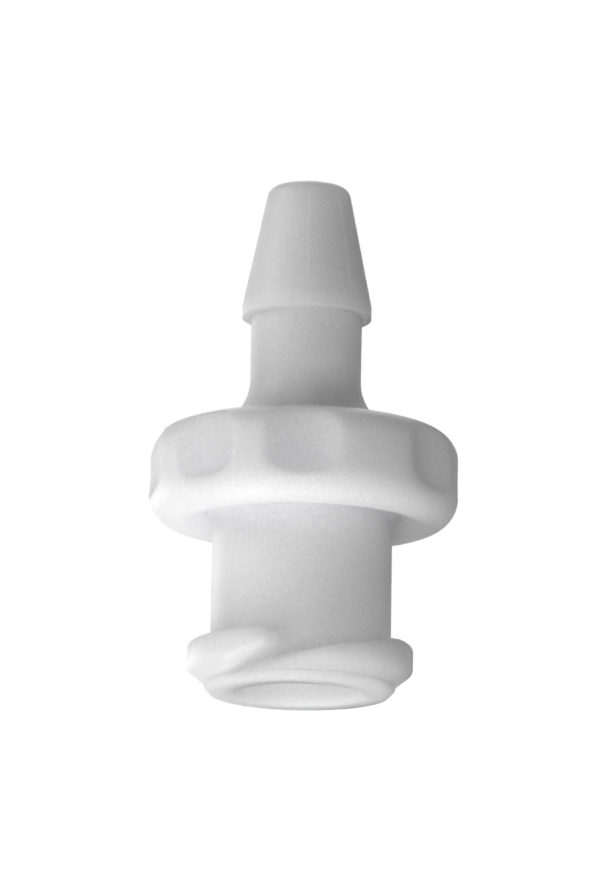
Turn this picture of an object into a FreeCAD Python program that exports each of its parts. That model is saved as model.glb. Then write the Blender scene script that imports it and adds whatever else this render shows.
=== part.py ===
"""Female luer lock to hose barb adapter, moulded in one piece.

The part stands on its mouth with the barb up: Z is the axis of the flow path,
the origin is the centre of the mouth face, and the front is -Y. Sizes are in
millimetres. Azimuths are in degrees, counted from +X and rising towards +Y.
"""

import FreeCAD, Part
import Sketcher
import math
import os

# Two edges closer than this are taken as being at the same place
RING_TOLERANCE = 0.002

SIZES = [
    # Lengths along the flow path, from the mouth up
    ("barrel_length", "5.91"),
    ("flange_thickness", "3.36"),
    ("stem_length", "4.03"),
    ("barb_land", "0.45"),
    ("barb_cone_length", "4.25"),
    ("flange_top", "=barrel_length + flange_thickness"),
    ("barb_back", "=flange_top + stem_length"),
    ("barb_cone_start", "=barb_back + barb_land"),
    ("total_height", "=barb_cone_start + barb_cone_length"),
    # Turned outside of the body
    ("mouth_ring_radius", "3.3"),
    ("nose_inset", "0.21"),
    ("nose_height", "0.22"),
    ("mouth_ring_height", "0.3"),
    ("mouth_ring_slope", "0.12"),
    ("barrel_radius", "3.135"),
    ("barrel_draft", "0.035"),
    ("dish_depth", "0.45"),
    ("dish_bevel", "0.25"),
    ("rim_flat", "0.1"),
    ("flange_radius", "5.36"),
    ("stem_radius", "1.925"),
    ("barb_radius", "2.25"),
    ("barb_tip_wall", "0.386"),
    ("mouth_ring_top", "=mouth_ring_height + mouth_ring_slope"),
    ("nose_radius", "=mouth_ring_radius - nose_inset"),
    ("barrel_top_radius", "=barrel_radius - barrel_draft"),
    ("dish_top", "=barrel_length + dish_depth"),
    ("dish_bevel_start", "=dish_top - dish_bevel"),
    ("dish_inner_radius", "=barrel_top_radius + dish_bevel"),
    ("dish_outer_radius", "=flange_radius - flange_round - rim_flat"),
    ("barb_tip_radius", "=bore_radius + barb_tip_wall"),
    # Rounded edges of the body
    ("flange_round", "1.04"),
    ("stem_flare", "1.8"),
    ("tip_round_ratio", "1.14"),
    ("tip_round", "=barb_tip_wall * tip_round_ratio"),
    # Flow path: a socket with the six per cent luer taper, a cone, a straight bore
    ("socket_mouth_radius", "2.15"),
    ("socket_taper", "0.06"),
    ("socket_depth", "7.9"),
    ("bore_radius", "1"),
    ("bore_cone_rise", "0.6"),
    ("mouth_bevel", "0.13"),
    ("mouth_edge_radius", "=socket_mouth_radius + mouth_bevel"),
    ("socket_start_radius", "=socket_mouth_radius - socket_taper * mouth_bevel / 2"),
    ("socket_end_radius", "=socket_mouth_radius - socket_taper * socket_depth / 2"),
    ("bore_start", "=socket_depth + bore_cone_rise"),
    # Grip scallops, two groups on opposite sides of the flange
    ("scallop_depth", "0.45"),
    ("scallop_half_angle", "14.4"),
    ("scallop_lip", "0.69"),
    ("scallop_floor_round", "0.9"),
    ("scallop_azimuth", "148.4"),
    ("scallop_pitch", "40.3"),
    ("scallops_in_group", "4"),
    ("scallop_groups", "2"),
    ("scallop_run_out", "1"),
    ("scallop_wall", "=flange_radius - scallop_depth"),
    ("scallop_edge_in", "=flange_radius * cos(scallop_half_angle * 1deg) - scallop_wall"),
    ("scallop_edge_out", "=flange_radius * sin(scallop_half_angle * 1deg)"),
    ("scallop_radius", "=(scallop_edge_in ^ 2 + scallop_edge_out ^ 2) / (2 * scallop_edge_in)"),
    ("scallop_axis", "=scallop_wall + scallop_radius"),
    ("scallop_floor", "=barrel_length + scallop_lip"),
    ("scallop_top", "=flange_top + scallop_run_out"),
    ("scallop_group_angle", "=scallop_pitch * (scallops_in_group - 1)"),
    # Locking collar, cut by entry grooves into the lugs of a two-start thread
    ("lug_radius", "3.9"),
    ("lug_setback", "0.34"),
    ("lug_lead_in", "0.49"),
    ("lug_crest", "0.87"),
    ("lug_back_slope", "0.14"),
    ("lug_edge_round", "0.2"),
    ("lug_overlap", "0.35"),
    ("lug_starts", "2"),
    ("lug_crest_bottom", "=lug_setback + lug_lead_in"),
    ("lug_crest_top", "=lug_crest_bottom + lug_crest"),
    ("lug_top", "=lug_crest_top + lug_back_slope"),
    ("lug_inner_radius", "=barrel_radius - lug_overlap"),
    # Entry groove: a guide face under a steeper tail face, and a slanted end of the lug
    ("guide_lead", "5"),
    ("tail_lead", "7"),
    ("tail_sweep", "54"),
    ("tail_end_angle", "45"),
    ("groove_azimuth", "-148"),
    ("groove_sweep", "148"),
    ("groove_start_height", "0"),
    ("groove_start_width", "0.45"),
    ("guide_face_angle", "12"),
    ("tail_face_angle", "16"),
    ("groove_run_out", "0.3"),
    ("groove_inner_radius", "=lug_inner_radius - groove_run_out"),
    ("groove_outer_radius", "=lug_radius + groove_run_out"),
    ("guide_inner_rise", "=(lug_radius - groove_inner_radius) * tan(guide_face_angle * 1deg)"),
    ("guide_outer_drop", "=groove_run_out * tan(guide_face_angle * 1deg)"),
    ("groove_stock", "=2 * lug_top"),
    ("guide_inner_height", "=groove_start_height + guide_inner_rise"),
    ("guide_outer_height", "=groove_start_height - guide_outer_drop"),
    ("guide_stock_top", "=groove_start_height + groove_stock"),
    ("tail_start_height", "=groove_start_height + groove_start_width"),
    ("tail_inner_radius", "=groove_inner_radius - groove_run_out"),
    ("tail_outer_radius", "=groove_outer_radius + groove_run_out"),
    ("tail_inner_drop", "=(lug_radius - tail_inner_radius) * tan(tail_face_angle * 1deg)"),
    ("tail_outer_rise", "=(tail_outer_radius - lug_radius) * tan(tail_face_angle * 1deg)"),
    ("tail_inner_height", "=tail_start_height - tail_inner_drop"),
    ("tail_outer_height", "=tail_start_height + tail_outer_rise"),
    ("tail_stock_top", "=tail_start_height + 2 * groove_stock"),
    ("tail_end_bottom", "=lug_crest_bottom + lug_crest / 5"),
    ("tail_end_reach", "=(lug_inner_radius - groove_outer_radius) * tan(tail_end_angle * 1deg)"),
    ("guide_turns", "=groove_sweep / 360"),
    ("tail_turns", "=tail_sweep / 360"),
]

# Names of the places that lie on the sketch axes instead of at a size
ON_AXIS = {"axis": 0, "mouth": 0, "tail_end": 0}


def size_sheet(doc):
    """Write every size into a spreadsheet, one row each, under its own name."""
    sheet = doc.addObject("Spreadsheet::Sheet", "sizes")
    for row, (name, value) in enumerate(SIZES, start=1):
        sheet.set(f"A{row}", name)
        sheet.set(f"B{row}", value)
        sheet.setAlias(f"B{row}", name)
    doc.recompute()
    return sheet


def origin_part(body, role):
    """The plane or axis of a body's own origin, by its role."""
    return next(item for item in body.Origin.OriginFeatures if item.Role == role)


def upright_sketch(body, name, azimuth=None):
    """An empty sketch on the plane through the body's axis, turned to an azimuth."""
    sketch = body.newObject("Sketcher::SketchObject", name)
    sketch.AttachmentSupport = [(origin_part(body, "XZ_Plane"), "")]
    sketch.MapMode = "FlatFace"
    if azimuth:
        turn = FreeCAD.Rotation(FreeCAD.Vector(0, 1, 0), 1)
        sketch.AttachmentOffset = FreeCAD.Placement(FreeCAD.Vector(), turn)
        sketch.setExpression("AttachmentOffset.Rotation.Angle", f"sizes.{azimuth}")
    return sketch


def size_of(sheet, name):
    """The number behind a name: nought on the sketch axes, else from the sheet."""
    return float(ON_AXIS[name] if name in ON_AXIS else sheet.get(name))


def pin_point(sketch, sheet, line, place):
    """Hold the start of a line at a named radius and height."""
    for kind, axis, name in (("DistanceX", -2, place[0]), ("DistanceY", -1, place[1])):
        if name in ON_AXIS:
            sketch.addConstraint(Sketcher.Constraint("PointOnObject", line, 1, axis))
            continue
        size = Sketcher.Constraint(kind, -1, 1, line, 1, size_of(sheet, name))
        number = sketch.addConstraint(size)
        sketch.setExpression(f"Constraints[{number}]", f"sizes.{name}")


def draw_outline(sketch, sheet, corners):
    """Draw a closed outline through corners given as names of radius and height."""
    points = [
        FreeCAD.Vector(size_of(sheet, radius), size_of(sheet, height), 0)
        for radius, height in corners
    ]
    count = len(corners)
    for number in range(count):
        sketch.addGeometry(Part.LineSegment(points[number], points[(number + 1) % count]))
    for number in range(count):
        following = (number + 1) % count
        sketch.addConstraint(Sketcher.Constraint("Coincident", number, 2, following, 1))
        pin_point(sketch, sheet, number, corners[number])


def turned(body, sheet, kind, name, corners):
    """Turn an outline about the body's axis, to add or to take away material."""
    sketch = upright_sketch(body, name + "_outline")
    draw_outline(sketch, sheet, corners)
    feature = body.newObject(kind, name)
    feature.Profile = sketch
    feature.ReferenceAxis = (sketch, ["V_Axis"])
    feature.Angle = 360
    body.Document.recompute()
    return feature


def ring_edges(feature, sheet, rings):
    """Names of the circular edges at the given radii and heights."""
    names = []
    for radius, height in rings:
        for number, edge in enumerate(feature.Shape.Edges, start=1):
            box = edge.BoundBox
            flat = box.ZLength < RING_TOLERANCE
            level = abs(box.ZMax - size_of(sheet, height)) < RING_TOLERANCE
            wide = abs(box.XMax - size_of(sheet, radius)) < RING_TOLERANCE
            if flat and level and wide:
                names.append(f"Edge{number}")
    return names


def rounded(body, sheet, name, radius, rings):
    """Round the circular edges at the given radii and heights."""
    base = body.Tip
    fillet = body.newObject("PartDesign::Fillet", name)
    fillet.Base = (base, ring_edges(base, sheet, rings))
    fillet.setExpression("Radius", f"sizes.{radius}")
    body.Document.recompute()
    return fillet


def turned_body(body, sheet):
    """The solid outline: mouth ring, barrel, flange with a dished underside, stem, barb."""
    turned(body, sheet, "PartDesign::Revolution", "turned_outside", [
        ("axis", "mouth"),
        ("nose_radius", "mouth"),
        ("mouth_ring_radius", "nose_height"),
        ("mouth_ring_radius", "mouth_ring_height"),
        ("barrel_radius", "mouth_ring_top"),
        ("barrel_top_radius", "dish_bevel_start"),
        ("dish_inner_radius", "dish_top"),
        ("dish_outer_radius", "barrel_length"),
        ("flange_radius", "barrel_length"),
        ("flange_radius", "flange_top"),
        ("stem_radius", "flange_top"),
        ("stem_radius", "barb_back"),
        ("barb_radius", "barb_back"),
        ("barb_radius", "barb_cone_start"),
        ("barb_tip_radius", "total_height"),
        ("axis", "total_height"),
    ])
    turned(body, sheet, "PartDesign::Groove", "flow_path", [
        ("axis", "mouth"),
        ("mouth_edge_radius", "mouth"),
        ("socket_start_radius", "mouth_bevel"),
        ("socket_end_radius", "socket_depth"),
        ("bore_radius", "bore_start"),
        ("bore_radius", "total_height"),
        ("axis", "total_height"),
    ])


def soft_edges(body, sheet):
    """The rounds and flares of the turned body."""
    rounded(body, sheet, "flared_stem", "stem_flare", [("stem_radius", "flange_top")])
    rounded(body, sheet, "rounded_flange", "flange_round", [
        ("flange_radius", "barrel_length"),
        ("flange_radius", "flange_top"),
    ])
    rounded(body, sheet, "rounded_tip", "tip_round", [("barb_tip_radius", "total_height")])


def scallop_outline(body, sheet):
    """Half of one scallop's section: an upright wall that rounds into a floor."""
    sketch = upright_sketch(body, "scallop_outline", "scallop_azimuth")
    wall = size_of(sheet, "scallop_wall")
    floor = size_of(sheet, "scallop_floor")
    blend = size_of(sheet, "scallop_floor_round")
    axis = size_of(sheet, "scallop_axis")
    top = size_of(sheet, "scallop_top")
    centre = FreeCAD.Vector(wall + blend, floor + blend, 0)
    bend = Part.Circle(centre, FreeCAD.Vector(0, 0, 1), blend)
    bend_end = FreeCAD.Vector(wall + blend, floor, 0)
    bend_start = FreeCAD.Vector(wall, floor + blend, 0)
    corners = [
        bend_end,
        FreeCAD.Vector(axis, floor, 0),
        FreeCAD.Vector(axis, top, 0),
        FreeCAD.Vector(wall, top, 0),
        bend_start,
    ]
    for start, end in zip(corners, corners[1:]):
        sketch.addGeometry(Part.LineSegment(start, end))
    sketch.addGeometry(Part.ArcOfCircle(bend, math.pi, 1.5 * math.pi))
    joined = [(0, 2, 1, 1), (1, 2, 2, 1), (2, 2, 3, 1)]
    for one, one_end, other, other_end in joined:
        sketch.addConstraint(Sketcher.Constraint("Coincident", one, one_end, other, other_end))
    for line in (0, 2):
        sketch.addConstraint(Sketcher.Constraint("Horizontal", line))
    for line in (1, 3):
        sketch.addConstraint(Sketcher.Constraint("Vertical", line))
    sketch.addConstraint(Sketcher.Constraint("Tangent", 3, 2, 4, 1))
    sketch.addConstraint(Sketcher.Constraint("Tangent", 4, 2, 0, 1))
    held = [
        ("DistanceX", (-1, 1, 3, 1), wall, "scallop_wall"),
        ("DistanceX", (-1, 1, 1, 1), axis, "scallop_axis"),
        ("DistanceY", (-1, 1, 1, 1), floor, "scallop_floor"),
        ("DistanceY", (-1, 1, 2, 1), top, "scallop_top"),
        ("Radius", (4,), blend, "scallop_floor_round"),
    ]
    for kind, where, value, name in held:
        number = sketch.addConstraint(Sketcher.Constraint(kind, *where, value))
        sketch.setExpression(f"Constraints[{number}]", f"sizes.{name}")
    return sketch


def grip_scallops(body, sheet):
    """Cut two groups of finger scallops into the flange, from its top side."""
    sketch = scallop_outline(body, sheet)
    scallop = body.newObject("PartDesign::Groove", "grip_scallop")
    scallop.Profile = sketch
    scallop.ReferenceAxis = (sketch, ["Edge2"])
    scallop.Angle = 360
    body.Document.recompute()
    group = body.Document.addObject("PartDesign::PolarPattern", "scallop_group")
    group.setExpression("Angle", "sizes.scallop_group_angle")
    group.setExpression("Occurrences", "sizes.scallops_in_group")
    sides = body.Document.addObject("PartDesign::PolarPattern", "scallop_sides")
    sides.Angle = 360
    sides.setExpression("Occurrences", "sizes.scallop_groups")
    for turn in (group, sides):
        turn.Axis = (origin_part(body, "Z_Axis"), [""])
    pattern = body.newObject("PartDesign::MultiTransform", "grip_scallops")
    pattern.Originals = [scallop]
    pattern.Transformations = [group, sides]
    body.addObject(group)
    body.addObject(sides)
    body.Tip = pattern
    body.Document.recompute()


def helical_face(body, sheet, kind, name, lead, turns, corners):
    """Sweep a block along a right-hand helix; its lower or upper side is the face."""
    sketch = upright_sketch(body, name + "_outline")
    draw_outline(sketch, sheet, corners)
    sweep = body.newObject(kind, name)
    sweep.Profile = sketch
    sweep.ReferenceAxis = (sketch, ["V_Axis"])
    sweep.Mode = "pitch-turns-angle"
    sweep.setExpression("Pitch", f"sizes.{lead}")
    sweep.setExpression("Turns", f"sizes.{turns}")
    sweep.Angle = 0
    sweep.Growth = 0
    sweep.LeftHanded = False
    sweep.Reversed = False
    body.Document.recompute()
    return sweep


def slanted_end(body, sheet):
    """A wedge beyond the end of a lug, whose slanted side is the lug's end face."""
    sketch = body.newObject("Sketcher::SketchObject", "slanted_end_outline")
    sketch.AttachmentSupport = [(origin_part(body, "XY_Plane"), "")]
    sketch.MapMode = "FlatFace"
    turn = FreeCAD.Rotation(FreeCAD.Vector(0, 0, 1), 1)
    sketch.AttachmentOffset = FreeCAD.Placement(FreeCAD.Vector(), turn)
    sketch.setExpression("AttachmentOffset.Rotation.Angle", "sizes.tail_sweep")
    sketch.setExpression("AttachmentOffset.Base.z", "sizes.tail_end_bottom")
    draw_outline(sketch, sheet, [
        ("lug_inner_radius", "tail_end"),
        ("groove_outer_radius", "tail_end_reach"),
        ("groove_outer_radius", "tail_end"),
    ])
    wedge = body.newObject("PartDesign::Pad", "slanted_end")
    wedge.Profile = sketch
    wedge.setExpression("Length", "sizes.groove_stock")
    body.Document.recompute()
    return wedge


def entry_grooves(doc, sheet):
    """The space above each guide face and below the tail of the lug before it."""
    body = doc.addObject("PartDesign::Body", "entry_grooves")
    above_guide = helical_face(
        body, sheet, "PartDesign::AdditiveHelix", "above_guide", "guide_lead", "guide_turns", [
            ("groove_inner_radius", "guide_inner_height"),
            ("groove_outer_radius", "guide_outer_height"),
            ("groove_outer_radius", "guide_stock_top"),
            ("groove_inner_radius", "guide_stock_top"),
        ])
    tail = helical_face(
        body, sheet, "PartDesign::SubtractiveHelix", "above_tail", "tail_lead", "tail_turns", [
            ("tail_inner_radius", "tail_inner_height"),
            ("tail_outer_radius", "tail_outer_height"),
            ("tail_outer_radius", "tail_stock_top"),
            ("tail_inner_radius", "tail_stock_top"),
        ])
    wedge = slanted_end(body, sheet)
    starts = body.newObject("PartDesign::PolarPattern", "groove_starts")
    starts.Originals = [above_guide, tail, wedge]
    starts.Axis = (origin_part(body, "Z_Axis"), [""])
    starts.Angle = 360
    starts.setExpression("Occurrences", "sizes.lug_starts")
    body.Tip = starts
    body.setExpression("Placement.Rotation.Angle", "sizes.groove_azimuth")
    doc.recompute()
    return body


def locking_lugs(doc, sheet):
    """A collar around the mouth, left standing as lugs between the entry grooves."""
    body = doc.addObject("PartDesign::Body", "locking_lugs")
    turned(body, sheet, "PartDesign::Revolution", "collar", [
        ("lug_inner_radius", "lug_setback"),
        ("mouth_ring_radius", "lug_setback"),
        ("lug_radius", "lug_crest_bottom"),
        ("lug_radius", "lug_crest_top"),
        ("barrel_radius", "lug_top"),
        ("lug_inner_radius", "lug_top"),
    ])
    rounded(body, sheet, "rounded_collar", "lug_edge_round", [
        ("lug_radius", "lug_crest_bottom"),
        ("lug_radius", "lug_crest_top"),
    ])
    cut = body.newObject("PartDesign::Boolean", "cut_entry_grooves")
    cut.setObjects([entry_grooves(doc, sheet)])
    cut.Type = "Cut"
    doc.recompute()
    return body


def check_features(doc):
    """Stop when a feature failed or holds an empty or faulty shape."""
    steps = [step for item in doc.Objects for step in getattr(item, "Transformations", [])]
    for item in doc.Objects:
        if {"Invalid", "Error"} & set(item.State):
            raise RuntimeError(f"{item.Name} didn't build")
        shape = getattr(item, "Shape", None)
        if shape is None or item in steps:
            continue
        if shape.isNull() or not shape.isValid():
            raise RuntimeError(f"{item.Name} holds no valid shape")


def main():
    os.makedirs("parts", exist_ok=True)
    doc = FreeCAD.newDocument("luer_barb_adapter")
    sheet = size_sheet(doc)
    body = doc.addObject("PartDesign::Body", "luer_barb_adapter")
    turned_body(body, sheet)
    soft_edges(body, sheet)
    grip_scallops(body, sheet)
    join = body.newObject("PartDesign::Boolean", "join_locking_lugs")
    join.setObjects([locking_lugs(doc, sheet)])
    join.Type = "Fuse"
    doc.recompute()
    check_features(doc)
    body.Label = "luer_barb_adapter"
    body.Shape.exportStep("parts/luer_barb_adapter.step")


main()
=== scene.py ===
"""Looks of the female luer lock hose barb: moulded polymer on a pale floor."""

import math

import bpy
from mathutils import Matrix, Vector

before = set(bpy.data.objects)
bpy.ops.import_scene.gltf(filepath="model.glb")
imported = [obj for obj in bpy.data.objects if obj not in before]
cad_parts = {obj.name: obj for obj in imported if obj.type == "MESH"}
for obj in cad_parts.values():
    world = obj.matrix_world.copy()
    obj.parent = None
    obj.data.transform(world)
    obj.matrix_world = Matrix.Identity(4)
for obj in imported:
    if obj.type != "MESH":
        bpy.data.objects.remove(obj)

MM = 0.001
WHITE = (1, 1, 1, 1)

NODE = "luer_barb_adapter"
BODY_SLOT = "moulded_polymer"

# Camera, read from the photograph: it looks up, and the picture leans
LOOK_UP_DEG = 12.0
LEAN_DEG = 1.15
CAMERA_DISTANCE = 250 * MM
LENS_MM = 292.2
SENSOR_MM = 36.0
AIM = Vector((-0.15, 0.0, 8.86)) * MM
NEAREST_SEEN = 10 * MM
FARTHEST_SEEN = 10000 * MM

# The floor lies this far under the mouth face, so that the two don't flicker
FLOOR_DROP = 0.02 * MM
FLOOR_SIZE = 4000 * MM
FLOOR_COLOUR = (0.35, 0.35, 0.35, 1)
# The floor is lifted to a pale tone where it is looked at, less so beside the part, where a painted
# shadow dims the lift
FLOOR_LIFT = 0.68
# How far from the part the floor's painted shadow reaches
PAINTED_SHADOW_REACH = 8 * MM
# Between these distances from the part the floor fades to white
FLOOR_NEAR = 40 * MM
FLOOR_FAR = 220 * MM

# Polymer: its fine grain varies between two tones, and the surface with it
BODY_DARK = (0.762, 0.757, 0.768, 1)
BODY_LIGHT = (0.94, 0.935, 0.946, 1)
GRAIN_SIZE = 0.11 * MM
GRAIN_DETAIL = 2.0
GRAIN_DEPTH = 0.012 * MM
ROUGHNESS = 0.5

# All light that enters the polymer spreads inside it, equally far in each colour
SPREAD_SHARE = 1.0
SPREAD_BY_COLOUR = (1, 1, 1)
MOUTH_SPREAD = 3.6 * MM
BODY_SPREAD = 1.7 * MM

# Radius that the edges seem to be rounded by
MOUTH_EDGE = 0.7 * MM
BODY_EDGE = 0.4 * MM
BARB_EDGE = 0.15 * MM

# Heights between which the mouth's values turn into the body's, then the body's into the barb's
MOUTH_TOP = 2 * MM
BODY_START = 4 * MM
BODY_TOP = 11.5 * MM
BARB_START = 12.5 * MM

# Rays that feel for edges, and for the part above the floor
FEELER_SAMPLES = 16

# Faint witness lines on the barb, drawn only as painted highlight streaks in a lighter colour: azimuth
# in degrees from the front, and strength
HIGHLIGHT_STREAKS = ((44, 0.8), (0, 0.55))
# Colour of the painted highlight streaks, lighter than the polymer
STREAK_HIGHLIGHT_COLOUR = (0.97, 0.97, 0.97, 1)
LINE_WIDTH = 0.07 * MM
LINE_BOTTOM = 13.9 * MM
LINE_TOP = 17.7 * MM
LINE_FADE = 0.5 * MM

# Studio lamps: name, azimuth and elevation in degrees (0 is the viewer, -90 the left), watts
LAMP_DISTANCE = 250 * MM
LAMP_WIDTH = 120 * MM
LAMPS = (
    ("key", -60, -50, 0.158),
    ("below left", -90, -75, 0.215),
    ("below front", 0, -75, 0.06),
    ("front", 0, -25, 0.265),
    ("back left", -140, 0, 0.135),
    ("high left", -80, 30, 0.19),
    ("above back", 180, 50, 0.15),
)

# Soft light from all round
LIGHT_AROUND = 0.08


def fill(tree, socket, value):
    """Give a socket a plain value, or link the output of another node to it."""
    if isinstance(value, bpy.types.NodeSocket):
        tree.links.new(value, socket)
    else:
        socket.default_value = value


def add_node(tree, kind, **inputs):
    """A new node with some inputs filled, their names written with underscores."""
    node = tree.nodes.new(kind)
    for name, value in inputs.items():
        fill(tree, node.inputs[name.replace("_", " ")], value)
    return node


def number(tree, operation, *values, clamp=False):
    """The result of a math node."""
    node = tree.nodes.new("ShaderNodeMath")
    node.operation = operation
    node.use_clamp = clamp
    for socket, value in zip(node.inputs, values):
        fill(tree, socket, value)
    return node.outputs[0]


def blend(tree, share, one, other):
    """A colour between two others."""
    node = tree.nodes.new("ShaderNodeMix")
    node.data_type = "RGBA"
    fill(tree, node.inputs["Factor"], share)
    colours = [socket for socket in node.inputs if socket.type == "RGBA"]
    for socket, value in zip(colours, (one, other)):
        fill(tree, socket, value)
    return next(socket for socket in node.outputs if socket.type == "RGBA")


def blend_shaders(tree, share, one, other):
    """A shader between two others."""
    node = tree.nodes.new("ShaderNodeMixShader")
    for socket, value in zip(node.inputs, (share, one, other)):
        fill(tree, socket, value)
    return node.outputs[0]


def graded(tree, value, low, high, at_low, at_high):
    """A number that goes from one to another while a value goes from low to high."""
    node = add_node(tree, "ShaderNodeMapRange", Value=value, From_Min=low, From_Max=high,
                    To_Min=at_low, To_Max=at_high)
    return node.outputs["Result"]


def between(tree, value, low, high, fade):
    """One where a value lies between two others, nought outside, with a fade at both."""
    above = number(tree, "DIVIDE", number(tree, "SUBTRACT", value, low), fade, clamp=True)
    below = number(tree, "DIVIDE", number(tree, "SUBTRACT", high, value), fade, clamp=True)
    return number(tree, "MULTIPLY", above, below)


def painted_highlight_streak(tree, x, y, azimuth, strength):
    """A thin upright painted highlight streak on the side of the barb that faces an azimuth, from the
    front.
    """
    sine = math.sin(math.radians(azimuth))
    cosine = math.cos(math.radians(azimuth))
    beside = number(tree, "MULTIPLY_ADD", y, sine, number(tree, "MULTIPLY", x, cosine))
    facing = number(tree, "MULTIPLY_ADD", y, -cosine, number(tree, "MULTIPLY", x, sine))
    widths_off = number(tree, "DIVIDE", number(tree, "ABSOLUTE", beside), LINE_WIDTH)
    line = number(tree, "SUBTRACT", 1.0, widths_off, clamp=True)
    on_this_side = number(tree, "GREATER_THAN", facing, 0.0)
    return number(tree, "MULTIPLY", number(tree, "MULTIPLY", line, on_this_side), strength)


def polymer():
    """Natural white moulded polymer: soft edges, fine grain, painted highlight streaks on the barb,
    light that spreads inside it.
    """
    material = bpy.data.materials.new(BODY_SLOT)
    material.use_nodes = True
    tree = material.node_tree
    place = add_node(tree, "ShaderNodeTexCoord").outputs["Object"]
    x, y, z = add_node(tree, "ShaderNodeSeparateXYZ", Vector=place).outputs

    # Painted highlights: lighter streaks along the barb's witness lines, standing in for light that
    # glints there
    lines = [painted_highlight_streak(tree, x, y, *line) for line in HIGHLIGHT_STREAKS]
    on_cone = between(tree, z, LINE_BOTTOM, LINE_TOP, LINE_FADE)
    line = number(tree, "MULTIPLY", number(tree, "ADD", *lines), on_cone)
    noise = add_node(tree, "ShaderNodeTexNoise", Vector=place, Scale=1 / GRAIN_SIZE, Detail=GRAIN_DETAIL)
    grain = noise.outputs["Fac"]
    mottled = blend(tree, grain, BODY_DARK, BODY_LIGHT)

    below_barb = graded(tree, z, MOUTH_TOP, BODY_START, MOUTH_EDGE, BODY_EDGE)
    softness = graded(tree, z, BODY_TOP, BARB_START, below_barb, BARB_EDGE)
    edges = add_node(tree, "ShaderNodeBevel", Radius=softness)
    edges.samples = FEELER_SAMPLES
    soft = edges.outputs["Normal"]
    bump = add_node(tree, "ShaderNodeBump", Height=grain, Distance=GRAIN_DEPTH, Normal=soft)

    surface = tree.nodes["Principled BSDF"].inputs
    surface["Roughness"].default_value = ROUGHNESS
    surface["Subsurface Weight"].default_value = SPREAD_SHARE
    surface["Subsurface Radius"].default_value = SPREAD_BY_COLOUR
    spread = graded(tree, z, MOUTH_TOP, BODY_START, MOUTH_SPREAD, BODY_SPREAD)
    fill(tree, surface["Subsurface Scale"], spread)
    fill(tree, surface["Base Color"], blend(tree, line, mottled, STREAK_HIGHLIGHT_COLOUR))
    fill(tree, surface["Normal"], bump.outputs["Normal"])
    return material


def pale_floor(tree):
    """A pale surface with a soft shadow beside the part: cast by the lamps on its grey part, and painted
    into its glow near the part.
    """
    # Painted contact shadow: ambient occlusion dims the floor's glow where the part is near, not any
    # lamp
    painted_shadow = add_node(tree, "ShaderNodeAmbientOcclusion", Distance=PAINTED_SHADOW_REACH)
    painted_shadow.samples = FEELER_SAMPLES
    strength = number(tree, "MULTIPLY", painted_shadow.outputs["AO"], FLOOR_LIFT)
    lift = add_node(tree, "ShaderNodeEmission", Color=WHITE, Strength=strength)
    diffuse = add_node(tree, "ShaderNodeBsdfDiffuse", Color=FLOOR_COLOUR)
    pale = tree.nodes.new("ShaderNodeAddShader")
    for socket, part in zip(pale.inputs, (diffuse, lift)):
        fill(tree, socket, part.outputs[0])
    return pale.outputs[0]


def floor_material():
    """Pale near the part and white far away, met only by sight from above."""
    material = bpy.data.materials.new("floor")
    material.use_nodes = True
    tree = material.node_tree
    tree.nodes.clear()

    distance = add_node(tree, "ShaderNodeVectorMath")
    distance.operation = "LENGTH"
    fill(tree, distance.inputs[0], add_node(tree, "ShaderNodeTexCoord").outputs["Object"])
    fade = add_node(tree, "ShaderNodeMapRange", From_Min=FLOOR_NEAR, From_Max=FLOOR_FAR,
                    Value=distance.outputs["Value"])
    fade.interpolation_type = "SMOOTHSTEP"
    white = add_node(tree, "ShaderNodeEmission", Color=WHITE).outputs[0]
    seen = blend_shaders(tree, fade.outputs["Result"], pale_floor(tree), white)

    path = add_node(tree, "ShaderNodeLightPath").outputs
    looked_at = number(tree, "MAXIMUM", path["Is Camera Ray"], path["Is Glossy Ray"])
    from_below = add_node(tree, "ShaderNodeNewGeometry").outputs["Backfacing"]
    shown = number(tree, "SUBTRACT", looked_at, from_below, clamp=True)
    clear = add_node(tree, "ShaderNodeBsdfTransparent").outputs[0]
    add_node(tree, "ShaderNodeOutputMaterial", Surface=blend_shaders(tree, shown, clear, seen))
    return material


def add_floor():
    """The floor under the part."""
    bpy.ops.mesh.primitive_plane_add(size=FLOOR_SIZE)
    plane = bpy.context.object
    plane.name = "floor"
    plane.location.z = -FLOOR_DROP
    plane.data.materials.append(floor_material())


def direction(azimuth, elevation):
    """The way from the part towards an azimuth and an elevation, in degrees."""
    across, rise = math.radians(azimuth), math.radians(elevation)
    level = math.cos(rise)
    return Vector((math.sin(across) * level, -math.cos(across) * level, math.sin(rise)))


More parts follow.
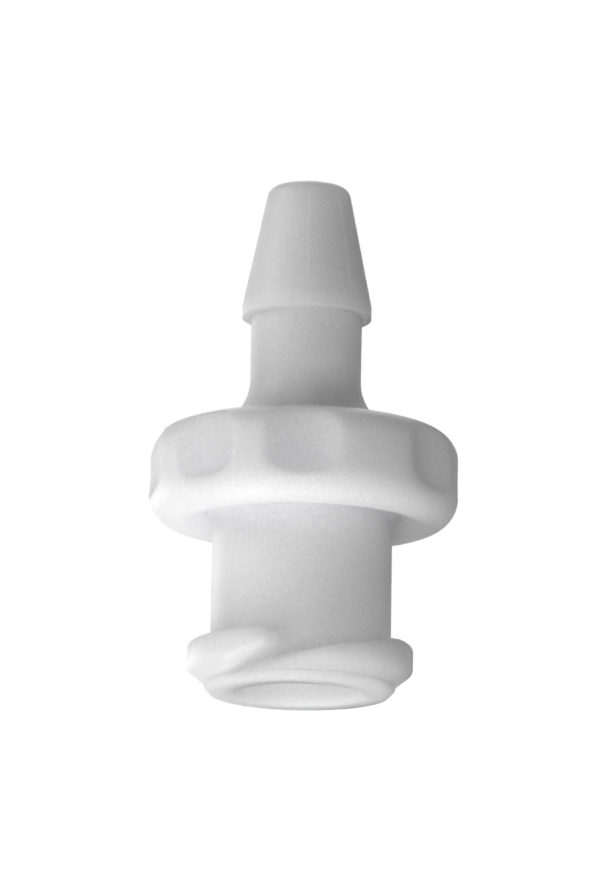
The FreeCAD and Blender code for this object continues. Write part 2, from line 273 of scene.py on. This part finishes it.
def add_lamp(name, azimuth, elevation, watts):
    """A round lamp that shines on the part from a direction."""
    data = bpy.data.lights.new(name, "AREA")
    data.shape = "DISK"
    data.size = LAMP_WIDTH
    data.energy = watts
    lamp = bpy.data.objects.new(name, data)
    bpy.context.scene.collection.objects.link(lamp)
    away = direction(azimuth, elevation)
    lamp.location = AIM + away * LAMP_DISTANCE
    lamp.rotation_mode = "QUATERNION"
    lamp.rotation_quaternion = (-away).to_track_quat("-Z", "Y")


def add_backdrop():
    """White where the camera looks past the part, soft grey light elsewhere."""
    world = bpy.data.worlds.new("studio")
    bpy.context.scene.world = world
    world.use_nodes = True
    tree = world.node_tree
    tree.nodes.clear()
    path = add_node(tree, "ShaderNodeLightPath").outputs
    mirrored = number(tree, "MAXIMUM", path["Is Glossy Ray"], path["Is Transmission Ray"])
    looked_at = number(tree, "MAXIMUM", path["Is Camera Ray"], mirrored)
    light = add_node(tree, "ShaderNodeBackground", Color=WHITE, Strength=LIGHT_AROUND).outputs[0]
    seen = add_node(tree, "ShaderNodeBackground", Color=WHITE).outputs[0]
    add_node(tree, "ShaderNodeOutputWorld", Surface=blend_shaders(tree, looked_at, light, seen))


def add_camera():
    """The photograph's view: from a little below, with a long lens."""
    data = bpy.data.cameras.new("camera")
    data.sensor_width = SENSOR_MM
    data.lens = LENS_MM
    data.clip_start = NEAREST_SEEN
    data.clip_end = FARTHEST_SEEN
    camera = bpy.data.objects.new("camera", data)
    bpy.context.scene.collection.objects.link(camera)
    back = direction(0, -LOOK_UP_DEG)
    turn = (-back).to_track_quat("-Z", "Y").to_matrix()
    lean = Matrix.Rotation(math.radians(LEAN_DEG), 3, "Z")
    camera.rotation_euler = (turn @ lean).to_euler()
    camera.location = AIM + back * CAMERA_DISTANCE
    bpy.context.scene.camera = camera


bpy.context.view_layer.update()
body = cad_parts[NODE]
body.data.materials.clear()
body.data.materials.append(polymer())
add_floor()
for lamp_values in LAMPS:
    add_lamp(*lamp_values)
add_backdrop()
add_camera()
bpy.context.scene.view_settings.view_transform = "Standard"
